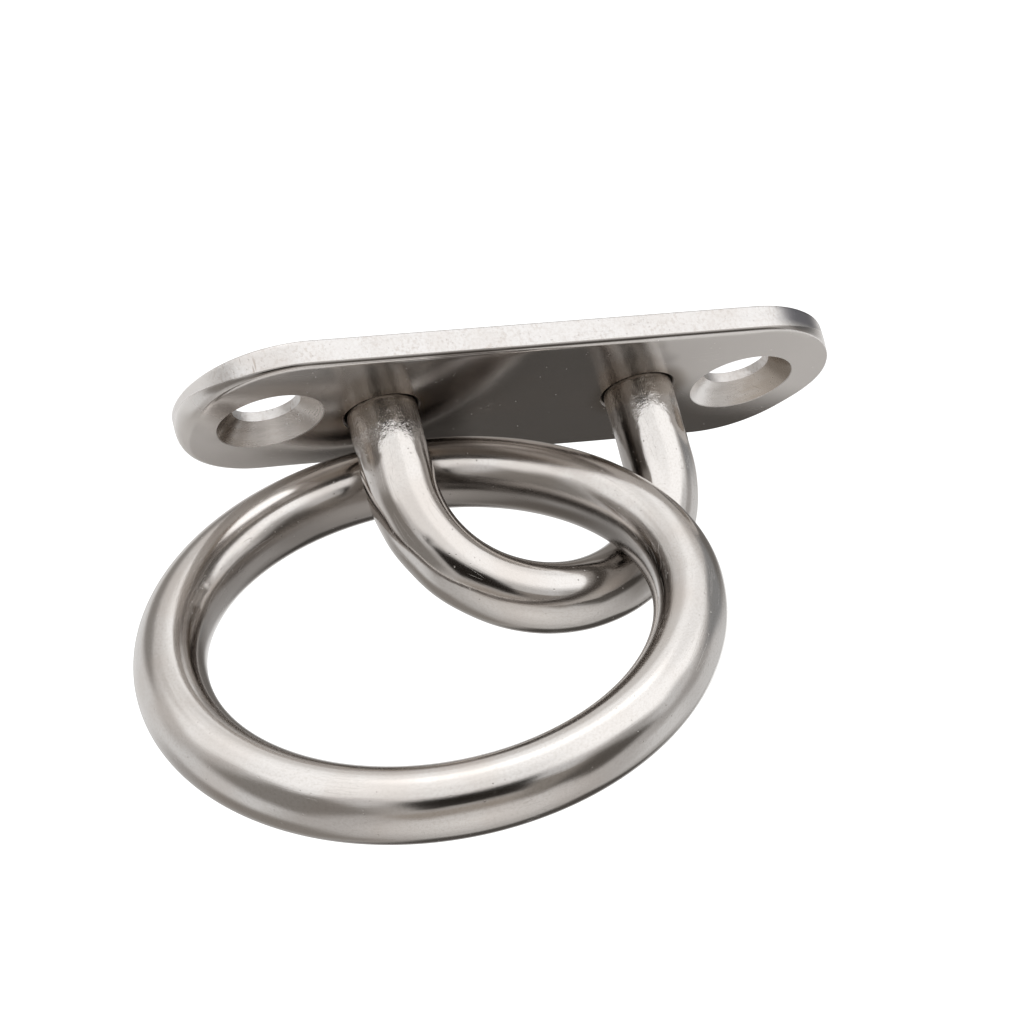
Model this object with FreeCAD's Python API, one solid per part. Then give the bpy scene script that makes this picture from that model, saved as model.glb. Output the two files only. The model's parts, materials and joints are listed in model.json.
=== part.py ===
import FreeCAD, Part
import math
import os

# Oblong pad eye with a captive ring, all in polished stainless steel.
# A bent round rod, the bow, stands on a stadium-shaped plate, and a loose welded ring runs through it.
# Millimetres. The origin is the centre of the plate's mounting face, which faces +Z. The plate's length
# runs along X. The bow and the ring are on the other side, towards -Z, as under a beam or a deckhead.

# Base plate
plate_length = 58.5
plate_width = 18.5
plate_thickness = 2.5
front_edge_round = 0.45      # rolled edge on the bow's side
mounting_edge_round = 0.2    # broken edge on the mounting side

# Two countersunk screw holes
screw_spacing = 43.0
screw_hole_diameter = 5.8
countersink_diameter = 9.0
countersink_angle = 90.0

# Bow: one bent rod, with legs that go through the plate
rod_diameter = 6.0
leg_spacing = 23.4           # between the legs' centrelines
bow_height = 21.4            # from the plate's front face to the outside of the crown
shoulder_radius = 11.0       # centreline radius of the bend above each leg
shoulder_turn = 61.0         # degrees turned by that bend; the crown's wider arc turns the rest
leg_hole_diameter = 6.3

# Plug weld over each leg's end, ground flush with the mounting face
plug_weld_depth = 1.0
plug_weld_face_diameter = 8.0

# Ring
ring_wire_diameter = 6.0
ring_inner_diameter = 36.0
ring_weld_width = 1.6        # butt weld that closes the ring, along the ring's centreline
ring_weld_angle = 251.0      # degrees round the ring, in the ring's own frame

# The ring at rest hangs in the bow and leans on its left leg and right shoulder
ring_centre = FreeCAD.Vector(-14.06, -3.85, -24.18)
ring_axis_azimuth = 72.2
ring_axis_elevation = -29.9

UP = FreeCAD.Vector(0, 0, 1)
overcut = 1.0                # how far a cutting tool runs past the face it starts from


def at_x(x, z):
    return FreeCAD.Vector(x, 0, z)


def disc(centre, normal, diameter):
    circle = Part.Circle(centre, normal, diameter / 2)
    return Part.Face(Part.Wire([circle.toShape()]))


def stadium_blank():
    half_straight = (plate_length - plate_width) / 2
    half_width = plate_width / 2
    back_right = FreeCAD.Vector(half_straight, half_width, 0)
    back_left = FreeCAD.Vector(-half_straight, half_width, 0)
    front_left = FreeCAD.Vector(-half_straight, -half_width, 0)
    front_right = FreeCAD.Vector(half_straight, -half_width, 0)
    left_tip = FreeCAD.Vector(-plate_length / 2, 0, 0)
    right_tip = FreeCAD.Vector(plate_length / 2, 0, 0)
    outline = Part.Wire([
        Part.makeLine(back_right, back_left),
        Part.Arc(back_left, left_tip, front_left).toShape(),
        Part.makeLine(front_left, front_right),
        Part.Arc(front_right, right_tip, back_right).toShape(),
    ])
    return Part.Face(outline).extrude(FreeCAD.Vector(0, 0, -plate_thickness))


def edges_at_height(solid, height):
    return [edge for edge in solid.Edges if all(abs(v.Z - height) < 1e-6 for v in edge.Vertexes)]


def screw_hole(x):
    start = at_x(x, -plate_thickness - overcut)
    hole = Part.makeCylinder(screw_hole_diameter / 2, plate_thickness + 2 * overcut, start)
    spread = math.tan(math.radians(countersink_angle / 2))
    depth = (countersink_diameter - screw_hole_diameter) / 2 / spread
    mouth_radius = countersink_diameter / 2 + overcut * spread
    cone = Part.makeCone(mouth_radius, screw_hole_diameter / 2, depth + overcut, start)
    return hole.fuse(cone)


def plug_weld(x):
    return Part.makeCone(
        leg_hole_diameter / 2,
        plug_weld_face_diameter / 2,
        plug_weld_depth,
        at_x(x, -plug_weld_depth),
    )


def leg_hole(x):
    depth = plate_thickness - plug_weld_depth
    start = at_x(x, -plate_thickness - overcut)
    bore = Part.makeCylinder(leg_hole_diameter / 2, depth + overcut, start)
    return bore.fuse(plug_weld(x))


def base_plate():
    blank = stadium_blank()
    plate = blank.makeFillet(front_edge_round, edges_at_height(blank, -plate_thickness))
    plate = plate.makeFillet(mounting_edge_round, edges_at_height(plate, 0))
    for side in (-1, 1):
        plate = plate.cut(screw_hole(side * screw_spacing / 2))
        plate = plate.cut(leg_hole(side * leg_spacing / 2))
    return plate.Solids[0]


def bow_path():
    """Centreline of the rod: leg, shoulder bend, crown, shoulder bend, leg."""
    half = leg_spacing / 2
    turn = math.radians(shoulder_turn)
    crown_z = -(plate_thickness + bow_height - rod_diameter / 2)
    crown_radius = (half - shoulder_radius * (1 - math.cos(turn))) / math.cos(turn)
    shoulder_end_z = crown_z + crown_radius * (1 - math.sin(turn))
    shoulder_start_z = shoulder_end_z + shoulder_radius * math.sin(turn)

    def on_shoulder(angle):
        x = half - shoulder_radius * (1 - math.cos(angle))
        return x, shoulder_start_z - shoulder_radius * math.sin(angle)

    end_x, end_z = on_shoulder(turn)
    middle_x, middle_z = on_shoulder(turn / 2)
    return Part.Wire([
        Part.makeLine(at_x(-half, -plug_weld_depth), at_x(-half, shoulder_start_z)),
        Part.Arc(at_x(-half, shoulder_start_z), at_x(-middle_x, middle_z), at_x(-end_x, end_z)).toShape(),
        Part.Arc(at_x(-end_x, end_z), at_x(0, crown_z), at_x(end_x, end_z)).toShape(),
        Part.Arc(at_x(end_x, end_z), at_x(middle_x, middle_z), at_x(half, shoulder_start_z)).toShape(),
        Part.makeLine(at_x(half, shoulder_start_z), at_x(half, -plug_weld_depth)),
    ])


def eye_bow():
    start = at_x(-leg_spacing / 2, -plug_weld_depth)
    return bow_path().makePipe(disc(start, UP, rod_diameter)).Solids[0]


def ring_place():
    azimuth = math.radians(ring_axis_azimuth)
    elevation = math.radians(ring_axis_elevation)
    axis = FreeCAD.Vector(
        math.cos(elevation) * math.cos(azimuth),
        math.cos(elevation) * math.sin(azimuth),
        math.sin(elevation),
    )
    return FreeCAD.Placement(ring_centre, FreeCAD.Rotation(UP, axis))


def ring_stretch(start_angle, sweep):
    """Part of the ring from one angle round its axis, as a solid in its resting place."""
    radius = (ring_inner_diameter + ring_wire_diameter) / 2
    section = disc(FreeCAD.Vector(radius, 0, 0), FreeCAD.Vector(0, 1, 0), ring_wire_diameter)
    stretch = section.revolve(FreeCAD.Vector(0, 0, 0), UP, sweep)
    stretch.rotate(FreeCAD.Vector(0, 0, 0), UP, start_angle)
    stretch.Placement = ring_place().multiply(stretch.Placement)
    return stretch.Solids[0]


def weld_sweep():
    return math.degrees(ring_weld_width / ((ring_inner_diameter + ring_wire_diameter) / 2))


def ring():
    return ring_stretch(ring_weld_angle + weld_sweep() / 2, 360 - weld_sweep())


def ring_weld():
    return ring_stretch(ring_weld_angle - weld_sweep() / 2, weld_sweep())


nodes = {
    "base_plate": base_plate(),
    "eye_bow": eye_bow(),
    "left_leg_weld": plug_weld(-leg_spacing / 2),
    "right_leg_weld": plug_weld(leg_spacing / 2),
    "ring": ring(),
    "ring_weld": ring_weld(),
}

os.makedirs("parts", exist_ok=True)
for name, shape in nodes.items():
    shape.exportStep(f"parts/{name}.step")
    print(name, "volume mm3", round(shape.Volume, 1), "valid", shape.isValid(), shape.ShapeType)
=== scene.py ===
import json
import math

import bmesh
import bpy
import numpy as np
from mathutils import Matrix, Vector, noise
from mathutils.geometry import delaunay_2d_cdt


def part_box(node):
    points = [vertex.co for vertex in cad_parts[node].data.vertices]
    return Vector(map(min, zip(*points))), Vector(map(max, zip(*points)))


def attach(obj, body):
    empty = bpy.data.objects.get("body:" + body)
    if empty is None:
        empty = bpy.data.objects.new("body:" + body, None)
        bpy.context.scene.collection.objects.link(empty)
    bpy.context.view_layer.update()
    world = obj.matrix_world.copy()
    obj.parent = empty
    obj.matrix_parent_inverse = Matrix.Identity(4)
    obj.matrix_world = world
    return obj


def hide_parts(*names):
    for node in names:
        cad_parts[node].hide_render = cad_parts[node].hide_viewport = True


# Looks of an oblong pad eye in polished stainless steel: plate, bent rod bow, two plug welds, and a
# loose ring with its butt weld. Every CAD node is replaced by a denser mesh of the same shape, which
# adds the marks of making: rolled edges, die marks at the bends, ground welds, polishing streaks.
# Metres, in the CAD's frame: the mounting face is at z = 0 and the bow hangs towards -Z.

MM = 0.001

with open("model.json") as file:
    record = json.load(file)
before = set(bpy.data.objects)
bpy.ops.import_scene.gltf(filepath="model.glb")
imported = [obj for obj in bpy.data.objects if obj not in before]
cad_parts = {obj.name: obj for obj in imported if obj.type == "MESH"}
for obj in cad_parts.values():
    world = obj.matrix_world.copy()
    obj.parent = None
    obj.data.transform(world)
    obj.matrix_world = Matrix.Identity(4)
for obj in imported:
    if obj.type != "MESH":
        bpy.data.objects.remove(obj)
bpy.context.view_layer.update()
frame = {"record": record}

# Sizes read from the CAD
PLATE_LOW, PLATE_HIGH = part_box("base_plate")
BOW_LOW, BOW_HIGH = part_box("eye_bow")
WELD_LOW, WELD_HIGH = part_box("right_leg_weld")
MOUNTS = {mount["name"]: mount for mount in frame["record"]["mounts"]}

plate_length = PLATE_HIGH.x - PLATE_LOW.x
plate_width = PLATE_HIGH.y - PLATE_LOW.y
plate_thickness = PLATE_HIGH.z - PLATE_LOW.z
rod_radius = (BOW_HIGH.y - BOW_LOW.y) / 2
leg_x = (BOW_HIGH.x - BOW_LOW.x) / 2 - rod_radius
weld_depth = WELD_HIGH.z - WELD_LOW.z
weld_face_radius = (WELD_HIGH.y - WELD_LOW.y) / 2
ring_centre = Vector(MOUNTS["ring_eye"]["pos_m"])
ring_axis = Vector(MOUNTS["ring_eye"]["axis"]).normalized()
screw_x = MOUNTS["screw_holes"]["dims"]["spacing_x_mm"] / 2 * MM
screw_radius = MOUNTS["screw_holes"]["dims"]["hole_r_mm"] * MM

# Sizes that neither a box nor a mount gives, with the CAD's values
countersink_radius = 4.5 * MM
countersink_depth = countersink_radius - screw_radius      # a right-angled countersink
leg_hole_radius = 3.15 * MM
shoulder_radius = 11.0 * MM
shoulder_turn = math.radians(61.0)
mounting_edge_round = 0.2 * MM
ring_radius = 21.0 * MM                                    # to the middle of the wire
ring_weld_angle = math.radians(251.0)
ring_weld_width = 1.6 * MM

# Marks of making
side_roll = 0.45 * MM           # radius of the plate's rolled front edge along its sides
# Where polishing widened the roll round each end: degrees round the end, spread, extra height or inset
LEFT_ROLL_HEIGHT = (88.0, 38.0, 1.30 * MM)
LEFT_ROLL_INSET = (90.0, 38.0, 0.85 * MM)
RIGHT_ROLL_HEIGHT = (82.0, 38.0, 1.95 * MM)
RIGHT_ROLL_INSET = (124.0, 22.0, 0.55 * MM)
far_left_roll = 0.45 * MM       # extra along the left part of the side at +Y
far_right_roll = 0.18 * MM      # radius along the right part of that side
right_narrowing = 0.75          # how much less the roll reaches inwards round the right end
side_fall = 0.03 * MM           # how far the front face falls away towards its rim
end_fall = 0.12 * MM
fall_width = 5.0 * MM
front_wave = 0.005 * MM         # unevenness of the two flat faces and of the punched wall
mounting_wave = 0.02 * MM
wall_wave = 0.03 * MM
hole_tear = 0.05 * MM           # raggedness of the screw holes' walls
weld_hollow = 0.06 * MM         # depth of the hollows in the ground weld faces
front_spacing = 0.45 * MM       # between the points of each flat face
mounting_spacing = 0.6 * MM
edge_break = 0.06 * MM          # tiny chamfer at each hole's edge
leg_edge_break = 0.16 * MM
POINTS_ROUND = 96               # points round a wire or a hole
MERGE_DISTANCE = 0.0008 * MM    # points nearer than this are one point
INSIDE_RIM = 0.999              # a triangle nearer a hole's centre than this share of its radius is in it

# The places of its surfaces' materials in the plate's list
FACE, EDGE, CONE, PUNCHED, MOUNTING = range(5)


# ---------------------------------------------------------------- meshes

def smoothstep(edge0, edge1, x):
    t = np.clip((x - edge0) / (edge1 - edge0), 0, 1)
    return t * t * (3 - 2 * t)


def bell(x, middle, width):
    return np.exp(-((x - middle) / width) ** 2)


def angle_bell(angle, middle_degrees, width_degrees):
    """A smooth bump on a circle: 1 at the middle, near 0 a few widths away."""
    gap = np.angle(np.exp(1j * (angle - math.radians(middle_degrees))))
    return np.exp(-(gap / math.radians(width_degrees)) ** 2)


def mark_sharp_edges(bm, limit_degrees):
    limit = math.radians(limit_degrees)
    for edge in bm.edges:
        if len(edge.link_faces) == 2 and edge.calc_face_angle(0) > limit:
            edge.smooth = False


def finish_mesh(name, vertices, faces, materials, face_materials=None, sharp=30.0):
    mesh = bpy.data.meshes.new(name)
    mesh.from_pydata([tuple(v) for v in vertices], [], faces)
    for material in materials:
        mesh.materials.append(material)
    if face_materials is not None:
        mesh.polygons.foreach_set("material_index", face_materials)
    bm = bmesh.new()
    bm.from_mesh(mesh)
    bmesh.ops.remove_doubles(bm, verts=bm.verts, dist=MERGE_DISTANCE)
    bmesh.ops.recalc_face_normals(bm, faces=bm.faces)
    for face in bm.faces:
        face.smooth = True
    mark_sharp_edges(bm, sharp)
    bm.to_mesh(mesh)
    bm.free()
    piece = bpy.data.objects.new(name, mesh)
    bpy.context.scene.collection.objects.link(piece)
    return piece


def place(piece, body, node):
    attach(piece, body)
    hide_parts(node)


def wire(name, centres, outward, side, lengths, radius_at, material):
    """A round wire with closed ends. outward and side span its cross-section at each centre.

    The attribute along_wire holds the distance along the wire and the place in the section, so
    that polishing streaks follow the wire.
    """
    around = POINTS_ROUND
    angles = np.linspace(0, 2 * math.pi, around, endpoint=False)
    radii = radius_at(lengths[:, None], angles[None, :])
    cos, sin = np.cos(angles)[None, :, None], np.sin(angles)[None, :, None]
    rim = centres[:, None] + radii[:, :, None] * (cos * outward[:, None] + sin * side[:, None])
    rows = len(centres)
    vertices = np.vstack([rim.reshape(-1, 3), centres[:1], centres[-1:]])
    faces = []
    for row in range(rows - 1):
        for k in range(around):
            a, b = row * around + k, row * around + (k + 1) % around
            faces.append((a, b, b + around, a + around))
    first_cap, last_cap, last_row = rows * around, rows * around + 1, (rows - 1) * around
    for k in range(around):
        faces.append((first_cap, (k + 1) % around, k))
        faces.append((last_cap, last_row + k, last_row + (k + 1) % around))
    piece = finish_mesh(name, vertices, faces, [material])
    place_in_wire = np.zeros((len(vertices), 3))
    place_in_wire[:-2, 0] = np.repeat(lengths, around)
    place_in_wire[:-2, 1] = np.tile(np.cos(angles) * rod_radius, rows)
    place_in_wire[:-2, 2] = np.tile(np.sin(angles) * rod_radius, rows)
    place_in_wire[-1, 0] = lengths[-1]
    attribute = piece.data.attributes.new("along_wire", "FLOAT_VECTOR", "POINT")
    attribute.data.foreach_set("vector", place_in_wire.astype(np.float32).ravel())
    return piece


def bow_path(step=0.25 * MM):
    """Centreline of the bow from the left leg's top to the right one's: points and outward normals."""
    crown_z = BOW_LOW.z + rod_radius
    crown_radius = (leg_x - shoulder_radius * (1 - math.cos(shoulder_turn))) / math.cos(shoulder_turn)
    shoulder_end_z = crown_z + crown_radius * (1 - math.sin(shoulder_turn))
    shoulder_start_z = shoulder_end_z + shoulder_radius * math.sin(shoulder_turn)
    half = []
    leg_length = BOW_HIGH.z - shoulder_start_z
    for t in np.linspace(0, 1, round(leg_length / step), endpoint=False):
        half.append((-leg_x, BOW_HIGH.z - t * leg_length, 0.0))
    for a in np.linspace(0, shoulder_turn, round(shoulder_radius * shoulder_turn / step), endpoint=False):
        x = -leg_x + shoulder_radius * (1 - math.cos(a))
        half.append((x, shoulder_start_z - shoulder_radius * math.sin(a), a))
    crown_steps = round(crown_radius * (math.pi / 2 - shoulder_turn) / step)
    for a in np.linspace(shoulder_turn, math.pi / 2, crown_steps):
        z = crown_z + crown_radius * (1 - math.sin(a))
        half.append((-crown_radius * math.cos(a), z, a))
    half = np.array(half)
    other = half[-2::-1] * (-1, 1, -1) + (0, 0, math.pi)
    x, z, turn = np.vstack([half, other]).T
    zero = np.zeros_like(x)
    points = np.stack([x, zero, z], 1)
    outward = np.stack([-np.cos(turn), zero, -np.sin(turn)], 1)
    return points, outward


def bow_radius(s, angle):
    """Rod radius along the bow, thinned by the bending and dented by the bending dies."""
    length = s.max()
    bend = smoothstep(8 * MM, 16 * MM, s) * smoothstep(8 * MM, 16 * MM, length - s)
    radius = rod_radius * (1 - 0.012 * bend * np.cos(angle) ** 2)
    # place along the rod, angle round it (0 is outward), length, width in degrees, depth
    dies = [
        (5.3 * MM, 348, 1.1 * MM, 26, 0.11 * MM),
        (11.3 * MM, 0, 1.2 * MM, 50, 0.09 * MM),
        (14.5 * MM, 355, 1.7 * MM, 50, 0.12 * MM),
        (19.3 * MM, 358, 2.0 * MM, 50, 0.08 * MM),
        (length - 11.0 * MM, 4, 1.6 * MM, 45, 0.05 * MM),
        (length - 14.6 * MM, 5, 2.2 * MM, 45, 0.06 * MM),
        (length - 5.6 * MM, 200, 1.0 * MM, 24, 0.05 * MM),
        (14.4 * MM, 60, 0.35 * MM, 5, 0.015 * MM),
        (26.3 * MM, 26, 0.35 * MM, 6, 0.03 * MM),
    ]
    for along, round_it, spread, width, depth in dies:
        radius = radius - depth * bell(s, along, spread) * angle_bell(angle, round_it, width)
    ripple = 0.004 * MM * (np.sin(s / (1.9 * MM) + 1.2 * np.cos(angle)) + np.sin(s / (0.83 * MM)))
    return radius - np.abs(ripple)


def make_bow(material):
    points, outward = bow_path()
    steps = np.linalg.norm(np.diff(points, axis=0), axis=1)
    lengths = np.concatenate([[0], np.cumsum(steps)])
    towards_viewer = np.tile([0.0, -1.0, 0.0], (len(points), 1))
    piece = wire("bow_rod", points, outward, towards_viewer, lengths, bow_radius, material)
    place(piece, "pad", "eye_bow")


def ring_wire_radius(s, angle):
    """A little out of round, as rolled wire is, with a few shallow dents."""
    turn = s / ring_radius
    flat = 0.006 * (1 + np.cos(2 * angle + 0.9 * np.sin(turn)))
    radius = rod_radius * (1 - flat * (0.6 + 0.4 * np.sin(2 * turn + 0.5)))
    # degrees round the ring, degrees round the wire, spread in degrees, width, depth
    dents = [
        (191, 228, 0.9, 6, 0.03 * MM),
        (184, 226, 1.1, 5, 0.03 * MM),
        (225, 280, 0.8, 5, 0.02 * MM),
        (236, 268, 5.0, 24, 0.05 * MM),
        (120, 300, 7.0, 30, 0.02 * MM),
        (20, 320, 8.0, 30, 0.02 * MM),
    ]
    for round_ring, round_wire, spread, width, depth in dents:
        here = angle_bell(turn, round_ring, spread) * angle_bell(angle, round_wire, width)
        radius = radius - depth * here
    return radius


def seam_radius(s, angle):
    """Dressed weld bead: just proud in the middle, with a shallow groove at each toe."""
    across = (s - ring_weld_angle * ring_radius) / (ring_weld_width / 2)
    bead = 0.035 * MM * np.cos(across * math.pi / 2) ** 2
    toe = 0.05 * MM * bell(np.abs(across), 0.92, 0.10)
    ripple = 0.012 * MM * np.sin(angle * 9 + across * 4) * np.cos(across * math.pi / 2)
    return ring_wire_radius(s, angle) + bead - toe + ripple


def make_ring_stretch(name, start, end, step, radius_at, material, node):
    turn = np.linspace(start, end, max(8, round((end - start) * ring_radius / step)))
    place_ring = Vector((0, 0, 1)).rotation_difference(ring_axis)
    across = np.array(place_ring @ Vector((1, 0, 0)))
    along = np.array(place_ring @ Vector((0, 1, 0)))
    outward = np.cos(turn)[:, None] * across + np.sin(turn)[:, None] * along
    points = np.array(ring_centre) + ring_radius * outward
    side = np.tile(np.array(ring_axis), (len(turn), 1))
    piece = wire(name, points, outward, side, turn * ring_radius, radius_at, material)
    place(piece, "loose_ring", node)


def make_ring(wire_material, seam_material):
    half_weld = ring_weld_width / ring_radius / 2
    make_ring_stretch(
        "ring_wire", ring_weld_angle + half_weld, ring_weld_angle - half_weld + 2 * math.pi,
        0.35 * MM, ring_wire_radius, wire_material, "ring",
    )
    make_ring_stretch(
        "ring_seam", ring_weld_angle - half_weld, ring_weld_angle + half_weld,
        0.05 * MM, seam_radius, seam_material, "ring_weld",
    )


class Shell:
    """Collects the plate's surfaces, which are joined where their edges meet."""

    def __init__(self):
        self.vertices, self.faces, self.materials = [], [], []

    def loft(self, loops, material):
        """Quads between closed loops of equal length."""
        count = len(loops[0])
        start = len(self.vertices)
        for loop in loops:
            self.vertices.extend(loop)
        for row in range(len(loops) - 1):
            for k in range(count):
                a, b = start + row * count + k, start + row * count + (k + 1) % count
                self.faces.append((a, b, b + count, a + count))
                self.materials.append(material)

    def fill(self, outer, holes, height_at, spacing, material):
        """Fine triangles inside a closed outer loop and round circular holes."""
        flat, edges = [], []
        for loop in [outer] + [points for points, _, _ in holes]:
            first = len(flat)
            flat.extend(Vector((p[0], p[1])) for p in loop)
            edges.extend((first + k, first + (k + 1) % len(loop)) for k in range(len(loop)))
        on_loops = len(flat)
        flat.extend(Vector(p) for p in grid_points(spacing, holes))
        points, _, triangles, origins, _, _ = delaunay_2d_cdt(flat, edges, [], 1, 1e-9)
        start = len(self.vertices)
        loop_points = [tuple(p) for p in outer]
        for points_of_hole, _, _ in holes:
            loop_points.extend(tuple(p) for p in points_of_hole)
        for point, origin in zip(points, origins):
            on_loop = [k for k in origin if k < on_loops]
            if on_loop:
                self.vertices.append(loop_points[on_loop[0]])
            else:
                self.vertices.append((point.x, point.y, height_at(point.x, point.y)))
        for triangle in triangles:
            middle = sum((points[k] for k in triangle), Vector((0, 0))) / 3
            if all((middle - Vector((x, 0))).length > INSIDE_RIM * radius for _, x, radius in holes):
                self.faces.append(tuple(start + k for k in triangle))
                self.materials.append(material)


def from_outline(x, y):
    """Distance of a point on the plate from the plate's outline."""
    past = max(abs(x) - (plate_length - plate_width) / 2, 0)
    return plate_width / 2 - math.hypot(past, y)


def grid_points(spacing, holes):
    """A staggered grid inside the plate, clear of its rim and holes."""
    points = []
    clearance = 0.6 * spacing
    row_height = spacing * math.sqrt(3) / 2
    last_row = round(plate_width / row_height / 2)
    last_column = round(plate_length / spacing / 2)
    for row in range(-last_row, last_row + 1):
        for column in range(-last_column, last_column + 1):
            x, y = (column + 0.5 * (row % 2)) * spacing, row * row_height
            if from_outline(x, y) < front_roll(x, y)[1] + clearance:
                continue
            if all(math.hypot(x - hole_x, y) > radius + clearance for _, hole_x, radius in holes):
                points.append((x, y))
    return points


def towards_end(x):
    """0 along the plate's straight sides, 1 at its ends."""
    return float(smoothstep(0.325, 0.455, abs(x) / plate_length))


def angle_round_end(x, y):
    """Degrees round the plate's end: 0 on the side at -Y, 90 at the tip, 180 on the side at +Y."""
    past = max(abs(x) - (plate_length - plate_width) / 2, 0)
    return math.degrees(math.atan2(past, -y))


def front_roll(x, y):
    """Height and inset of the rolled front edge: small along the sides, larger round the ends."""
    angle = angle_round_end(x, y)

    def extra(middle, spread, amount):
        return amount * math.exp(-((angle - middle) / spread) ** 2)

    far_left = far_left_roll * math.exp(-((x + 0.3 * plate_length) / (0.17 * plate_length)) ** 2)
    far_side = float(smoothstep(0.0, 0.5, y / plate_width))
    far_right = float(smoothstep(0.0, 0.2, x / plate_length))
    radius = side_roll + far_side * (far_left + far_right * (far_right_roll - side_roll))
    if x < 0:
        return radius + extra(*LEFT_ROLL_HEIGHT), radius + extra(*LEFT_ROLL_INSET)
    narrowed = radius * (1 - right_narrowing * float(smoothstep(0.30, 0.42, x / plate_length)))
    tallest = plate_thickness - 2 * mounting_edge_round
    return min(radius + extra(*RIGHT_ROLL_HEIGHT), tallest), narrowed + extra(*RIGHT_ROLL_INSET)


def front_fall(x, y):
    """How far the front face falls away from flat, near its rim."""
    rim = max(0.0, 1 - from_outline(x, y) / fall_width)
    return (side_fall + (end_fall - side_fall) * towards_end(x)) * rim ** 3


def front_height(x, y):
    wave = noise.noise(Vector((x, y, 0)) * 160) * front_wave
    return PLATE_LOW.z + front_fall(x, y) + wave + front_wave


def mounting_height(x, y):
    return PLATE_HIGH.z - abs(noise.noise(Vector((x, y, 0.3)) * 220)) * mounting_wave


def outline():
    """Points on the plate's outline and their outward normals, anticlockwise."""
    half_straight = (plate_length - plate_width) / 2
    radius = plate_width / 2
    points_round_end, points_along_side = 72, 84
    points = []
    for side in (1, -1):
        for a in np.linspace(-math.pi / 2, math.pi / 2, points_round_end, endpoint=False):
            points.append((side * half_straight + side * radius * math.cos(a),
                           side * radius * math.sin(a), side * math.cos(a), side * math.sin(a)))
        for x in np.linspace(half_straight, -half_straight, points_along_side, endpoint=False):
            points.append((side * x, side * radius, 0.0, side))
    return points


def outline_loop(inset_at, height_at):
    """A loop inside the outline. height_at gets a point of the loop and the outline's point beside it."""
    loop = []
    for x, y, nx, ny in outline():
        inset = inset_at(x, y)
        at_x, at_y = x - nx * inset, y - ny * inset
        loop.append((at_x, at_y, height_at(at_x, at_y, x, y)))
    return loop


def roll_foot(edge_x, edge_y):
    """Height of the front face where the rolled edge beside that outline point ends."""
    past = max(abs(edge_x) - (plate_length - plate_width) / 2, 0) * math.copysign(1, edge_x)
    inset = front_roll(edge_x, edge_y)[1] / (plate_width / 2)
    return front_height(edge_x - past * inset, edge_y * (1 - inset))


def circle(centre_x, radius, height_at):
    loop = []
    for k in range(POINTS_ROUND):
        x = centre_x + radius * math.cos(2 * math.pi * k / POINTS_ROUND)
        y = radius * math.sin(2 * math.pi * k / POINTS_ROUND)
        loop.append((x, y, height_at(x, y)))
    return loop


def wall_wear(x, y, z):
    """The punched edge is not quite flat: shallow hollows, always inwards."""
    return abs(noise.noise(Vector((x * 420, y * 420, z * 900)))) * wall_wave


def make_outer_edge(shell):
    """Broken mounting edge, punched wall and rolled front edge. Returns the top and bottom loops."""
    break_rows, wall_rows, roll_rows = 3, 7, 10
    loops = []
    for step in range(break_rows + 1):
        a = math.radians(90 / break_rows * step)
        inset, drop = mounting_edge_round * (1 - math.sin(a)), mounting_edge_round * (1 - math.cos(a))
        loops.append(outline_loop(
            lambda x, y: inset + wall_wear(x, y, 0) * math.sin(a),
            lambda x, y, edge_x, edge_y: PLATE_HIGH.z - drop))
    for step in range(1, wall_rows + 1):
        t = step / wall_rows

        def wall_height(x, y, edge_x, edge_y):
            wall = plate_thickness - mounting_edge_round - front_roll(edge_x, edge_y)[0]
            return PLATE_HIGH.z - mounting_edge_round - t * wall

        loops.append(outline_loop(lambda x, y: wall_wear(x, y, t * (2 * MM)) * (1 - t), wall_height))
    shell.loft(loops, EDGE)
    roll = [loops[-1]]
    for step in range(1, roll_rows + 1):
        a = math.radians(90 / roll_rows * step)

        def roll_height(x, y, edge_x, edge_y):
            top_of_roll = PLATE_LOW.z + front_roll(edge_x, edge_y)[0]
            return top_of_roll - (top_of_roll - roll_foot(edge_x, edge_y)) * math.sin(a)

        roll.append(outline_loop(lambda x, y: front_roll(x, y)[1] * (1 - math.cos(a)), roll_height))
    shell.loft(roll, FACE)
    return loops[0], roll[-1]


def make_screw_hole(shell, x):
    """A countersunk hole. Returns its rims in the front and mounting faces, with their radii."""
    rim = circle(x, countersink_radius + edge_break, front_height)
    mouth = circle(x, countersink_radius, lambda px, py: front_height(px, py) + edge_break)
    shell.loft([rim, mouth], EDGE)
    cone = []
    for t in np.linspace(0, 1, 9):

        def cone_height(px, py):
            start = front_height(px, py) + edge_break
            end = PLATE_LOW.z + countersink_depth
            return start + t * (end - start)

        cone.append(circle(x, countersink_radius + t * (screw_radius - countersink_radius), cone_height))
    shell.loft(cone, CONE)
    land_foot, land_head = PLATE_LOW.z + countersink_depth, PLATE_HIGH.z - edge_break
    land = []
    for t in np.linspace(0, 1, 7):
        height = land_foot + t * (land_head - land_foot)
        land.append(punched_circle(x, screw_radius, hole_tear * math.sin(math.pi * t), height))
    shell.loft(land, PUNCHED)
    head = circle(x, screw_radius + edge_break, mounting_height)
    shell.loft([land[-1], head], EDGE)
    return (rim, x, countersink_radius + edge_break), (head, x, screw_radius + edge_break)


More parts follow.
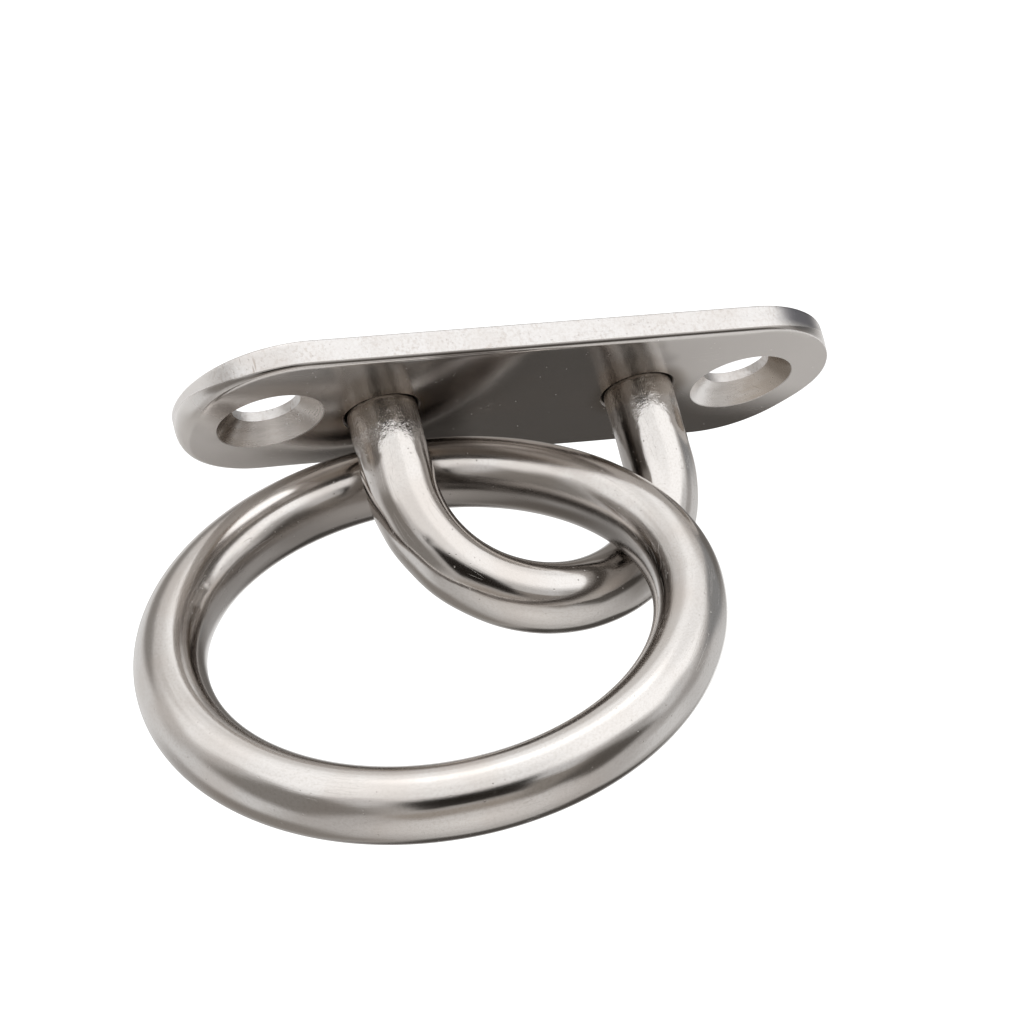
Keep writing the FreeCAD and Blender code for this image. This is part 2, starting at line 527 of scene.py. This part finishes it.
def make_leg_hole(shell, x):
    """The hole for one leg and its weld. Returns its rims in both faces, with their radii."""
    rim = circle(x, leg_hole_radius + leg_edge_break, front_height)
    weld_foot = PLATE_HIGH.z - weld_depth
    bore = [
        circle(x, leg_hole_radius, lambda px, py: front_height(px, py) + leg_edge_break),
        circle(x, leg_hole_radius, lambda px, py: (PLATE_LOW.z + weld_foot) / 2),
        circle(x, leg_hole_radius, lambda px, py: weld_foot),
        circle(x, weld_face_radius, lambda px, py: PLATE_HIGH.z),
    ]
    shell.loft([rim, bore[0]], EDGE)
    shell.loft(bore, PUNCHED)
    return (rim, x, leg_hole_radius + leg_edge_break), (bore[-1], x, weld_face_radius)


def make_plate(materials):
    """materials are the plate's, in the order of their places in the shell."""
    shell = Shell()
    top_loop, front_loop = make_outer_edge(shell)
    front_holes, mounting_holes = [], []
    for side in (-1, 1):
        for front_rim, mounting_rim in (make_screw_hole(shell, side * screw_x),
                                        make_leg_hole(shell, side * leg_x)):
            front_holes.append(front_rim)
            mounting_holes.append(mounting_rim)
    shell.fill(front_loop, front_holes, front_height, front_spacing, FACE)
    shell.fill(top_loop, mounting_holes, mounting_height, mounting_spacing, MOUNTING)
    piece = finish_mesh("pad_plate", shell.vertices, shell.faces, materials, shell.materials, sharp=24.0)
    place(piece, "pad", "base_plate")


def punched_circle(centre_x, radius, tear, height):
    """Punching tears the lower part of a hole, so its wall is a little ragged."""
    loop = []
    for x, y, z in circle(centre_x, radius, lambda px, py: height):
        ragged = abs(noise.noise(Vector((x, y, z)) * 1400)) * tear
        scale = (radius + ragged) / radius
        loop.append((centre_x + (x - centre_x) * scale, y * scale, z))
    return loop


def make_plug_weld(name, side, node, material):
    """Weld over a leg's end, ground flush: a disc with shallow hollows on a cone."""
    centre_x = side * leg_x
    around, rings = POINTS_ROUND, 18
    turns = [2 * math.pi * k / around for k in range(around)]
    vertices = [(centre_x, 0, PLATE_HIGH.z - weld_hollow / 2)]
    for ring in range(1, rings + 1):
        share = ring / rings
        rim = float(smoothstep(1.0, 0.82, share))
        for a in turns:
            x = centre_x + share * weld_face_radius * math.cos(a)
            y = share * weld_face_radius * math.sin(a)
            hollow = (0.5 + noise.noise(Vector((x, y, side)) * 700)) * weld_hollow
            vertices.append((x, y, PLATE_HIGH.z - abs(hollow) * rim))
    for a in turns:
        x, y = centre_x + leg_hole_radius * math.cos(a), leg_hole_radius * math.sin(a)
        vertices.append((x, y, WELD_LOW.z))
    vertices.append((centre_x, 0, WELD_LOW.z))
    last, foot_start = len(vertices) - 1, len(vertices) - 1 - around
    faces = []
    for k in range(around):
        after = (k + 1) % around
        faces.append((0, 1 + k, 1 + after))
        for ring in range(rings):
            a, b = 1 + ring * around, 1 + (ring + 1) * around
            faces.append((a + k, b + k, b + after, a + after))
        faces.append((last, foot_start + after, foot_start + k))
    piece = finish_mesh(name, vertices, faces, [material])
    place(piece, "pad", node)


# ---------------------------------------------------------------- materials

# Colours
STEEL = (0.66, 0.637, 0.6175)
BARE_EDGE = (0.68, 0.664, 0.653)          # freshly cut and not polished
EDGE_GRIME = (0.50, 0.455, 0.42, 1)
EDGE_DARK_REFLECTION = (0.22, 0.215, 0.24, 1)       # blue-grey painted reflection of something dark, on the wall near the right end
SATIN_AND_SHEEN = (0.96, 0.935, 0.915, 1)           # finely scoured, and painted lighter as a sheen where the ends reflect brighter light
WELD_TINT = (0.61, 0.575, 0.54)
WELD_GRAIN = (0.47, 0.435, 0.40, 1)
HEAT_TINT = (0.46, 0.405, 0.35, 1)        # straw brown left by welding, where polishing didn't reach
DARKER_INSIDE_AND_ROLL_SHADE = (0.27, 0.25, 0.235, 1)       # the darker insides of the bends, and painted shade for a dark line along the near side's roll
SOOT_AND_SHADE = (0.26, 0.24, 0.225, 1)           # soot and grease that polishing left, and painted shade and reflection of the ring on the crown
MILL_FINISH = (0.50, 0.482, 0.467)        # the mounting side, as rolled
MILL_GRAIN = (0.36, 0.345, 0.33, 1)

# Settings that more than one steel shares
SATIN_AND_SHEEN_METALLIC = -0.85                    # change in "Metallic" where a surface is satin: less metallic, so it sends back more diffuse light, a painted sheen
WIRE_STREAKS = (260, 9000, 9000)          # polishing streaks per metre along the wire and across it
WIRE_STREAK_DEPTH = 0.0022 * MM


class Nodes:
    """Short calls for building a node tree. Inputs are sockets or plain values."""

    def __init__(self, tree):
        self.tree = tree
        tree.nodes.clear()

    def add(self, kind, inputs=None, **settings):
        node = self.tree.nodes.new(kind)
        for key, value in settings.items():
            setattr(node, key, value)
        for key, value in (inputs or {}).items():
            if isinstance(value, bpy.types.NodeSocket):
                self.tree.links.new(value, node.inputs[key])
            else:
                node.inputs[key].default_value = value
        return node

    def math(self, operation, a, b=0.0, c=0.0):
        return self.add("ShaderNodeMath", {0: a, 1: b, 2: c}, operation=operation).outputs[0]

    def times(self, a, b):
        return self.math("MULTIPLY", a, b)

    def plus(self, a, b):
        return self.math("ADD", a, b)

    def minus(self, a, b):
        return self.math("SUBTRACT", a, b)

    def times_plus(self, a, factor, offset):
        return self.math("MULTIPLY_ADD", a, factor, offset)

    def larger(self, a, b):
        return self.math("MAXIMUM", a, b)

    def absolute(self, a):
        return self.math("ABSOLUTE", a)

    def axes(self, vector):
        return self.add("ShaderNodeSeparateXYZ", {"Vector": vector}).outputs

    def ramp(self, value, low, high, to_low=0.0, to_high=1.0):
        """Smooth step of value from low to high."""
        inputs = {"Value": value, "From Min": low, "From Max": high, "To Min": to_low, "To Max": to_high}
        node = self.add("ShaderNodeMapRange", inputs, interpolation_type="SMOOTHSTEP")
        return node.outputs["Result"]

    def band(self, value, start, full_from, full_to, end):
        """1 from full_from to full_to, fading to 0 at start and at end."""
        return self.times(self.ramp(value, start, full_from), self.ramp(value, end, full_to))

    def scaled(self, vector, scale):
        node = self.add("ShaderNodeMapping", {"Vector": vector, "Scale": scale})
        return node.outputs["Vector"]

    def noise(self, vector, scale, detail=2.0, roughness=0.5):
        inputs = {"Vector": self.scaled(vector, scale), "Scale": 1.0, "Detail": detail,
                  "Roughness": roughness}
        return self.add("ShaderNodeTexNoise", inputs).outputs["Fac"]

    def mix(self, factor, a, b):
        node = self.add("ShaderNodeMix", data_type="RGBA")
        for index, value in ((0, factor), (6, a), (7, b)):
            if isinstance(value, bpy.types.NodeSocket):
                self.tree.links.new(value, node.inputs[index])
            else:
                node.inputs[index].default_value = value
        return node.outputs[2]

    def bump(self, height, distance, normal=None):
        inputs = {"Height": height, "Distance": distance, "Strength": 1.0}
        if normal is not None:
            inputs["Normal"] = normal
        return self.add("ShaderNodeBump", inputs).outputs["Normal"]


def pits(nodes, vector, per_metre, share, size):
    """Small round pits: 1 in a pit. share is how many cells hold one, size its radius in cells."""
    cells = nodes.add("ShaderNodeTexVoronoi", {"Vector": nodes.scaled(vector, per_metre), "Scale": 1.0})
    chosen = nodes.math("GREATER_THAN", nodes.add(
        "ShaderNodeSeparateColor", {"Color": cells.outputs["Color"]}).outputs["Red"], 1 - share)
    return nodes.times(nodes.ramp(cells.outputs["Distance"], size, size * 0.3), chosen)


def scratches(nodes, vector, scale, share):
    """Hair scratches along the lines where a stretched noise crosses its middle value."""
    field = nodes.noise(vector, scale, detail=1.0)
    off_line = nodes.absolute(nodes.minus(field, 0.5))
    line = nodes.ramp(off_line, 0.006, 0.0)
    patches = nodes.ramp(nodes.noise(vector, (260, 260, 260), detail=0.0), 1 - share - 0.06, 1 - share)
    return nodes.times(line, patches)


def polish(name, coordinates, colour, roughness, streak_scale, streak_depth,
           wave_depth=0.012 * MM, pit_share=0.12, scratch_share=0.35, sparkle=0.0012 * MM):
    """Node tree for polished steel: waviness, polishing streaks, grain, pits, hair scratches, faint stains.

    Scales are in bumps per metre, and depths are in metres. sparkle is the depth of the finest grain.

    Returns the material, its Nodes, the vector, and the base colour, roughness and normal sockets,
    for finish_steel or for more marks on top.
    """
    material = bpy.data.materials.new(name)
    material.use_nodes = True
    nodes = Nodes(material.node_tree)
    if coordinates == "along_wire":
        vector = nodes.add("ShaderNodeAttribute", attribute_name="along_wire").outputs["Vector"]
    else:
        vector = nodes.add("ShaderNodeTexCoord").outputs["Object"]

    wave = nodes.noise(vector, (330, 420, 420), detail=1.5, roughness=0.4)
    streak = nodes.noise(vector, streak_scale, detail=2.0, roughness=0.6)
    speck = nodes.noise(vector, (4300, 5000, 5000), detail=2.0, roughness=0.7)
    pit = nodes.plus(pits(nodes, vector, (2300, 2300, 2300), pit_share, 0.2),
                     pits(nodes, vector, (900, 900, 900), pit_share * 0.3, 0.09))
    scratch = scratches(nodes, vector, (160, 2100, 1500), scratch_share)
    stain = nodes.ramp(nodes.noise(vector, (150, 150, 150), detail=3.0), 0.42, 0.7)

    normal = nodes.bump(wave, wave_depth)
    normal = nodes.bump(streak, streak_depth, normal)
    normal = nodes.bump(speck, sparkle, normal)
    pit_depth, scratch_depth = 0.010 * MM, 0.004 * MM
    normal = nodes.bump(nodes.times(pit, -1.0), pit_depth, normal)
    normal = nodes.bump(nodes.times(scratch, -1.0), scratch_depth, normal)

    base = nodes.mix(stain, tinted(colour, 1, 1, 1), tinted(colour, 0.94, 0.915, 0.895))
    base = nodes.mix(nodes.ramp(speck, 0.40, 0.75, 0.0, 0.5), base, tinted(colour, 0.86, 0.84, 0.82))
    base = nodes.mix(nodes.times(pit, 0.22), base, tinted(colour, 0.40, 0.36, 0.33))

    streak_roughness = 0.05
    rough = nodes.times_plus(streak, streak_roughness, roughness - streak_roughness / 2)
    rough = nodes.times_plus(stain, 0.035, rough)
    rough = nodes.times_plus(pit, 0.15, rough)
    rough = nodes.times_plus(scratch, 0.08, rough)
    return material, nodes, vector, base, rough, normal


def tinted(colour, red, green, blue):
    return (colour[0] * red, colour[1] * green, colour[2] * blue, 1)


def finish_steel(material, nodes, base, rough, normal, metallic=1.0):
    shader = nodes.add("ShaderNodeBsdfPrincipled", {
        "Base Color": base, "Metallic": metallic, "Roughness": rough, "Normal": normal})
    output = nodes.add("ShaderNodeOutputMaterial")
    nodes.tree.links.new(shader.outputs[0], output.inputs["Surface"])
    return material


def bow_steel():
    """The rod, with a dull, heat-tinted collar at each leg's foot, ragged where the polishing stopped, and
    a painted reflection of the ring on the crown.
    """
    points, _ = bow_path()
    length = np.linalg.norm(np.diff(points, axis=0), axis=1).sum()
    material, nodes, vector, base, rough, normal = polish(
        "bow_polish", "along_wire", STEEL, 0.11, WIRE_STREAKS, WIRE_STREAK_DEPTH,
        wave_depth=0.022 * MM, pit_share=0.2, sparkle=0.0010 * MM)
    place_in = nodes.axes(vector)
    along, near_side = place_in["X"], place_in["Z"]
    from_right = nodes.minus(length, along)
    rough_noise = nodes.noise(vector, (900, 1500, 1500), detail=4.0, roughness=0.7)
    ragged = nodes.times(rough_noise, 1.6 * MM)
    left_collar = nodes.ramp(nodes.plus(along, ragged), 4.9 * MM, 4.3 * MM)
    right_collar = nodes.ramp(nodes.plus(from_right, ragged), 4.5 * MM, 3.9 * MM)
    collar = nodes.larger(left_collar, right_collar)
    base, rough = dull_inside(nodes, vector, base, rough, -1.6 * MM, -2.7 * MM, 0.75)

    # Painted shade and dark reflection of the ring, on the crown's near side where the ring touches it
    cloud = nodes.noise(vector, (150, 260, 260), detail=1.0)
    off_ring_reflection = nodes.absolute(nodes.times_plus(cloud, 3.0 * MM, nodes.minus(along, 34.2 * MM)))
    painted_ring_reflection = nodes.times(nodes.ramp(off_ring_reflection, 4.5 * MM, 0.8 * MM),
                         nodes.ramp(near_side, 0.6 * MM, 2.4 * MM, 0.0, 0.7))
    base = nodes.mix(painted_ring_reflection, base, SOOT_AND_SHADE)

    base = nodes.mix(nodes.times(collar, 0.6), base, HEAT_TINT)
    rough = nodes.times_plus(collar, 0.10, rough)
    near_left_foot = nodes.ramp(along, 6.5 * MM, 4.5 * MM)
    near_right_foot = nodes.ramp(from_right, 6.1 * MM, 4.1 * MM)
    hammered = nodes.times(nodes.larger(near_left_foot, near_right_foot), rough_noise)
    normal = nodes.bump(hammered, 0.10 * MM, normal)
    return finish_steel(material, nodes, base, rough, normal)


def dull_inside(nodes, vector, base, rough, start, end, share):
    """Base colour and roughness of a bent wire, darker and rougher on its inside."""
    outward = nodes.axes(vector)["Y"]
    cloud = nodes.noise(vector, (200, 500, 500), detail=2.0)
    inside = nodes.ramp(nodes.times_plus(cloud, 0.3 * MM, outward), start, end)
    base = nodes.mix(nodes.times(inside, share), base, DARKER_INSIDE_AND_ROLL_SHADE)
    return base, nodes.times_plus(inside, 0.06, rough)


def ring_steel():
    material, nodes, vector, base, rough, normal = polish(
        "ring_polish", "along_wire", STEEL, 0.145, WIRE_STREAKS, WIRE_STREAK_DEPTH, sparkle=0.0016 * MM)
    base, rough = dull_inside(nodes, vector, base, rough, -2.25 * MM, -2.80 * MM, 0.85)
    return finish_steel(material, nodes, base, rough, normal)


def seam_steel():
    material, nodes, _, base, rough, normal = polish(
        "seam_polish", "along_wire", WELD_TINT, 0.26, (3000, 900, 900), 0.003 * MM,
        wave_depth=0.02 * MM, pit_share=0.3)
    return finish_steel(material, nodes, base, rough, normal)


def satin_sheen_on_face(nodes, x_cloudy, y):
    """Where the plate's face is satin and painted lighter as a sheen: beyond the right leg towards -Y, and
    near the left end.
    """
    beyond_right_leg = nodes.ramp(nodes.times_plus(y, -0.6, x_cloudy), 13.2 * MM, 16.7 * MM)
    near_right = nodes.ramp(nodes.minus(nodes.times(x_cloudy, 0.35), y), 0.5 * MM, 8.5 * MM)
    far_left = nodes.ramp(nodes.minus(nodes.times(y, 1.4), x_cloudy), 20.5 * MM, 31 * MM)
    near_left = nodes.times(nodes.ramp(x_cloudy, -15 * MM, -21 * MM, 0.0, 0.35),
                            nodes.ramp(y, -6.0 * MM, -8.0 * MM))
    return nodes.larger(nodes.larger(far_left, near_left), nodes.times(near_right, beyond_right_leg))


def plate_face_steel():
    """The front face: polished between the legs, satin and painted lighter as a sheen towards the ends,
    heat-tinted round the legs, with a painted dark line along the near side's roll.
    """
    material, nodes, vector, base, rough, normal = polish(
        "plate_polish", "object", STEEL, 0.17, (700, 5200, 700), 0.0010 * MM,
        wave_depth=0.010 * MM, pit_share=0.06, scratch_share=0.2)
    place_in = nodes.axes(vector)
    x, y, above_face = place_in["X"], place_in["Y"], nodes.minus(place_in["Z"], PLATE_LOW.z)
    cloud = nodes.times_plus(nodes.noise(vector, (120, 120, 120), detail=2.0), 5 * MM, -2.5 * MM)
    x_cloudy = nodes.plus(x, cloud)

    smoked = nodes.band(x_cloudy, -10.5 * MM, -8.5 * MM, -4.5 * MM, -2.0 * MM)
    base = nodes.mix(nodes.times(smoked, 0.85), base, SOOT_AND_SHADE)

    # Painted shade: a dark line along the upper half of the rolled edge on the near side
    painted_roll_shade = nodes.times(nodes.ramp(above_face, 0.12 * MM, 0.26 * MM),
                            nodes.ramp(y, -5.5 * MM, -8.0 * MM))
    base = nodes.mix(nodes.times(painted_roll_shade, 0.8), base, DARKER_INSIDE_AND_ROLL_SHADE)

    # Satin, painted lighter as a sheen, and less metallic so it sends back more diffuse light
    satin_sheen = nodes.times(satin_sheen_on_face(nodes, x_cloudy, y), nodes.minus(1.0, painted_roll_shade))
    base = nodes.mix(satin_sheen, base, SATIN_AND_SHEEN)
    rough = nodes.times_plus(satin_sheen, 0.04, rough)
    metallic = nodes.times_plus(satin_sheen, SATIN_AND_SHEEN_METALLIC, 1.0)

    beside_leg = nodes.minus(nodes.absolute(x), leg_x)
    from_leg = nodes.math("SQRT", nodes.plus(nodes.math("POWER", beside_leg, 2.0),
                                             nodes.math("POWER", y, 2.0)))
    scorched = nodes.ramp(nodes.plus(from_leg, nodes.times(cloud, 0.3)), 4.9 * MM, 3.2 * MM)
    base = nodes.mix(nodes.times(scorched, 0.65), base, HEAT_TINT)
    return finish_steel(material, nodes, base, rough, normal, metallic)


def cone_steel():
    """Turned countersinks, lighter on the side towards the legs and darker on the outer side."""
    material, nodes, vector, base, rough, normal = polish(
        "countersink_turned", "object", STEEL, 0.25, (900, 900, 9000), 0.004 * MM,
        wave_depth=0.016 * MM, pit_share=0.2)
    cloud = nodes.noise(vector, (500, 500, 2500), detail=3.0)
    beyond = nodes.minus(nodes.absolute(nodes.axes(vector)["X"]), screw_x)
    beyond = nodes.plus(beyond, nodes.times_plus(cloud, 3 * MM, -1.5 * MM))
    # Lighter on the side towards the legs, darker on the outer side
    base = nodes.mix(nodes.ramp(beyond, 1.0 * MM, -2.5 * MM, 0.0, 0.75), base, SATIN_AND_SHEEN)
    base = nodes.mix(nodes.ramp(beyond, 0.5 * MM, 3.5 * MM, 0.0, 0.75), base, HEAT_TINT)
    return finish_steel(material, nodes, base, rough, normal)


def brushed_steel(name, colour, roughness, streak_scale, grain_colour, **more):
    """Ground or rolled surface, whose grain shows as lighter and darker lines."""
    material, nodes, vector, base, rough, normal = polish(
        name, "object", colour, roughness, streak_scale, 0.004 * MM, **more)
    lines = nodes.noise(vector, streak_scale, detail=4.0, roughness=0.7)
    base = nodes.mix(nodes.ramp(lines, 0.42, 0.66, 0.0, 0.5), base, grain_colour)
    rough = nodes.times_plus(lines, 0.16, rough)
    return finish_steel(material, nodes, base, rough, normal)


def painted_wall_reflection(nodes, vector):
    """A painted dark blue-grey reflection on the upper part of the wall, where it turns into the right end.
    """
    place_in = nodes.axes(vector)
    cloud = nodes.noise(vector, (500, 500, 500), detail=3.0)
    x_cloudy = nodes.times_plus(cloud, 3 * MM, place_in["X"])
    starts = nodes.ramp(x_cloudy, 0.385 * plate_length, 0.44 * plate_length)
    ends = nodes.ramp(place_in["X"], 0.475 * plate_length, 0.445 * plate_length)
    near_side = nodes.ramp(place_in["Y"], -4.0 * MM, -5.5 * MM)
    upper_part = nodes.ramp(place_in["Z"], -1.9 * MM, -1.2 * MM, 0.0, 0.75)
    return nodes.times(nodes.times(nodes.times(starts, near_side), upper_part), ends)


def cut_edge_steel(name, roughness, shear_scale):
    """Punched wall: bright and gritty, with dark specks and short shear marks through the thickness, a
    painted dark reflection near the right end, and painted lighter tips.
    """
    material, nodes, vector, base, rough, normal = polish(
        name, "object", BARE_EDGE, roughness, shear_scale, 0.005 * MM,
        wave_depth=0.02 * MM, pit_share=0.5, sparkle=0.003 * MM)
    grit = nodes.noise(vector, (3600, 3600, 3000), detail=3.0, roughness=0.65)
    patches = nodes.ramp(nodes.noise(vector, (350, 350, 350), detail=2.0), 0.40, 0.62)
    specks = nodes.times(nodes.ramp(grit, 0.44, 0.68), nodes.times_plus(patches, 0.30, 0.22))
    shear_lines = nodes.ramp(nodes.noise(vector, (2600, 2600, 350), detail=2.0), 0.62, 0.70)
    shear_places = nodes.ramp(nodes.noise(vector, (130, 130, 130), detail=0.0), 0.58, 0.66)
    marks = nodes.larger(specks, nodes.times(shear_lines, shear_places))
    base = nodes.mix(marks, base, EDGE_GRIME)
    normal = nodes.bump(nodes.times(marks, -1.0), 0.012 * MM, normal)
    # Painted dark reflection on the wall near the right end
    base = nodes.mix(painted_wall_reflection(nodes, vector), base, EDGE_DARK_REFLECTION)

    # Both tips of the wall painted lighter as a satin sheen, like the face beside them
    x = nodes.axes(vector)["X"]
    right_tip = nodes.ramp(x, 0.435 * plate_length, 0.475 * plate_length)
    left_tip = nodes.ramp(x, -0.455 * plate_length, -0.485 * plate_length)
    tip_sheen = nodes.larger(right_tip, left_tip)
    base = nodes.mix(nodes.times(tip_sheen, 0.8), base, SATIN_AND_SHEEN)
    metallic = nodes.times_plus(tip_sheen, SATIN_AND_SHEEN_METALLIC, 1.0)
    return finish_steel(material, nodes, base, rough, normal, metallic)


def make_materials():
    return {
        "ring": ring_steel(),
        "bow": bow_steel(),
        "seam": seam_steel(),
        "face": plate_face_steel(),
        "edge": cut_edge_steel("edge_punched", 0.30, (5200, 5200, 1500)),
        "cone": cone_steel(),
        "punched": cut_edge_steel("hole_punched", 0.40, (7000, 7000, 900)),
        "mounting": brushed_steel("mounting_rolled", MILL_FINISH, 0.32, (150, 4200, 700), MILL_GRAIN,
                                  wave_depth=0.014 * MM, pit_share=0.2),
        "weld": brushed_steel("weld_ground", WELD_TINT, 0.30, (7000, 900, 900), WELD_GRAIN,
                              wave_depth=0.03 * MM, pit_share=0.6),
    }


# ---------------------------------------------------------------- studio

# Soft light and dark cards round the object: middle azimuth and elevation, half width and height,
# softness, all in degrees, then brightness and warmth. Azimuth is measured from +X towards +Y.
# Later cards cover earlier ones. The camera and the dim room behind it are the dark ones.
CARDS = [
    (-168, -8, 24, 26, 8, 0.30, 0.05),
    (150, -2, 18, 25, 9, 0.76, 0.0),
    (-74, -38, 14, 20, 6, 0.32, 0.07),
    (-50, -30, 16, 18, 6, 0.14, 0.07),
    (-118, -50, 32, 10, 7, 0.42, 0.08),
    (8, -20, 20, 12, 8, 0.76, 0.0),
    (108, -20, 22, 18, 10, 0.32, 0.06),
    (-108, -21, 21, 14, 4, 0.03, 0.12),
    (-137, -4, 7, 10, 5, 0.72, 0.0),
    (-79, -12, 8, 9, 3, 0.68, 0.0),
    (-98, 13, 32, 17, 7, 1.04, 0.0),
    (-136, 23, 16, 16, 6, 1.10, 0.0),
    (-105, 50, 50, 26, 9, 1.22, 0.0),
    (-160, 51, 20, 14, 8, 1.10, 0.0),
    (-88, 57, 26, 11, 6, 1.60, 0.0),
    (-57, 25, 27, 22, 7, 1.28, 0.0),
    (-34, 4, 9, 14, 6, 0.72, 0.0),
    (-38, 56, 22, 16, 10, 1.08, 0.0),
    (-60, 72, 66, 8, 6, 1.15, 0.0),
    (38, 44, 30, 22, 8, 0.20, 0.05),
    (115, 62, 44, 11, 7, 0.34, 0.04),
    (-2, 31, 18, 16, 5, 0.32, -0.01),
    (16, 4, 21, 13, 7, 0.72, 0.0),
    (54, 14, 13, 9, 4, 1.10, 0.0),
    (66, 35, 7, 10, 4, 0.80, 0.0),
    (118, 32, 32, 17, 8, 0.80, 0.0),
    (62, -21, 20, 15, 5, 0.11, 0.06),
]
SKY_WARMTH = 0.02
STUDIO_STRENGTH = 0.94
# Brightness from straight below (0) to straight above (1)
SKY = [(0.0, 0.88), (0.12, 0.76), (0.25, 0.58), (0.50, 0.46), (0.75, 0.68), (0.88, 0.70), (1.0, 0.78)]


def card_colour(brightness, warmth):
    return (brightness, brightness * (1 - warmth), brightness * (1 - 2 * warmth), 1)


def make_studio():
    world = bpy.data.worlds.new("studio")
    bpy.context.scene.world = world
    world.use_nodes = True
    nodes = Nodes(world.node_tree)
    direction = nodes.add("ShaderNodeTexCoord").outputs["Generated"]
    axes = nodes.axes(direction)
    to_degrees = 180 / math.pi
    azimuth = nodes.times(nodes.math("ARCTAN2", axes["Y"], axes["X"]), to_degrees)
    elevation = nodes.times(nodes.math("ARCSINE", axes["Z"]), to_degrees)

    ramp = nodes.add("ShaderNodeValToRGB", {"Fac": nodes.times_plus(elevation, 1 / 180, 0.5)})
    ramp.color_ramp.interpolation = "EASE"
    while len(ramp.color_ramp.elements) < len(SKY):
        ramp.color_ramp.elements.new(0.5)
    for element, (position, brightness) in zip(ramp.color_ramp.elements, SKY):
        element.position = position
        element.color = card_colour(brightness, SKY_WARMTH)
    light = ramp.outputs["Color"]

    for middle, height, half_width, half_height, soft, brightness, warmth in CARDS:
        turn = nodes.math("WRAP", nodes.minus(azimuth, middle), 180.0, -180.0)
        sideways = nodes.ramp(nodes.absolute(turn), half_width + soft, half_width - soft)
        off_height = nodes.absolute(nodes.minus(elevation, height))
        upright = nodes.ramp(off_height, half_height + soft, half_height - soft)
        light = nodes.mix(nodes.times(sideways, upright), light, card_colour(brightness, warmth))

    background = nodes.add("ShaderNodeBackground", {"Color": light, "Strength": STUDIO_STRENGTH})
    output = nodes.add("ShaderNodeOutputWorld")
    nodes.tree.links.new(background.outputs[0], output.inputs["Surface"])


def only_for_the_camera(obj):
    """Backdrop and floor don't block or mirror the studio cards."""
    obj.visible_diffuse = False
    obj.visible_glossy = False
    obj.visible_transmission = False
    obj.visible_shadow = False


def pale_material(name, brightness, mottle):
    material = bpy.data.materials.new(name)
    material.use_nodes = True
    nodes = Nodes(material.node_tree)
    vector = nodes.add("ShaderNodeTexCoord").outputs["Object"]
    cloud = nodes.noise(vector, (3, 3, 3), detail=3.0)
    strength = nodes.times_plus(cloud, mottle, brightness - mottle / 2)
    glow = nodes.add("ShaderNodeEmission", {"Color": (1, 1, 1, 1), "Strength": strength})
    output = nodes.add("ShaderNodeOutputMaterial")
    nodes.tree.links.new(glow.outputs[0], output.inputs["Surface"])
    return material


def add_to_stage(name, bm, material):
    mesh = bpy.data.meshes.new(name)
    bm.to_mesh(mesh)
    bm.free()
    mesh.materials.append(material)
    stage = bpy.data.objects.new(name, mesh)
    bpy.context.scene.collection.objects.link(stage)
    only_for_the_camera(stage)


def make_backdrop():
    dome_radius, floor_radius, floor_z = 1.6, 1.58, -0.45
    dome = bmesh.new()
    bmesh.ops.create_uvsphere(dome, u_segments=64, v_segments=32, radius=dome_radius)
    add_to_stage("backdrop", dome, pale_material("backdrop_white", 1.02, 0.0))
    floor = bmesh.new()
    bmesh.ops.create_circle(floor, cap_ends=True, segments=96, radius=floor_radius,
                            matrix=Matrix.Translation((0, 0, floor_z)))
    add_to_stage("floor", floor, pale_material("floor_pale", 0.95, 0.01))


# ---------------------------------------------------------------- camera

CAMERA_AIM = Vector((-7.130, -10.082, -17.373)) * MM
CAMERA_DISTANCE = 319.56 * MM
CAMERA_TURNS = (-114.05, -22.81, -15.296)       # azimuth, elevation and roll, in degrees
LENS = 140.18                                   # focal length and sensor, in camera millimetres
SENSOR = 36.0


def make_camera():
    """Below the plate and in front of it, looking up, a little turned about the line of sight."""
    azimuth, elevation, roll = (math.radians(turn) for turn in CAMERA_TURNS)
    back = Vector((math.cos(elevation) * math.cos(azimuth),
                   math.cos(elevation) * math.sin(azimuth),
                   math.sin(elevation)))
    level_right = (-back).cross(Vector((0, 0, 1))).normalized()
    level_up = level_right.cross(-back)
    right = math.cos(roll) * level_right + math.sin(roll) * level_up
    up = back.cross(right)
    data = bpy.data.cameras.new("camera")
    data.lens = LENS
    data.sensor_width = SENSOR
    data.clip_start = 0.02
    data.clip_end = 5.0
    camera = bpy.data.objects.new("camera", data)
    turned = Matrix((right, up, back)).transposed().to_4x4()
    camera.matrix_world = Matrix.Translation(CAMERA_AIM + back * CAMERA_DISTANCE) @ turned
    bpy.context.scene.collection.objects.link(camera)
    bpy.context.scene.camera = camera


make_camera()
bpy.context.scene.view_settings.view_transform = "Standard"
bpy.context.scene.view_settings.look = "Medium High Contrast"
make_studio()
make_backdrop()
steels = make_materials()
make_plate([steels[name] for name in ("face", "edge", "cone", "punched", "mounting")])
make_bow(steels["bow"])
make_plug_weld("left_weld_face", -1, "left_leg_weld", steels["weld"])
make_plug_weld("right_weld_face", 1, "right_leg_weld", steels["weld"])
make_ring(steels["ring"], steels["seam"])
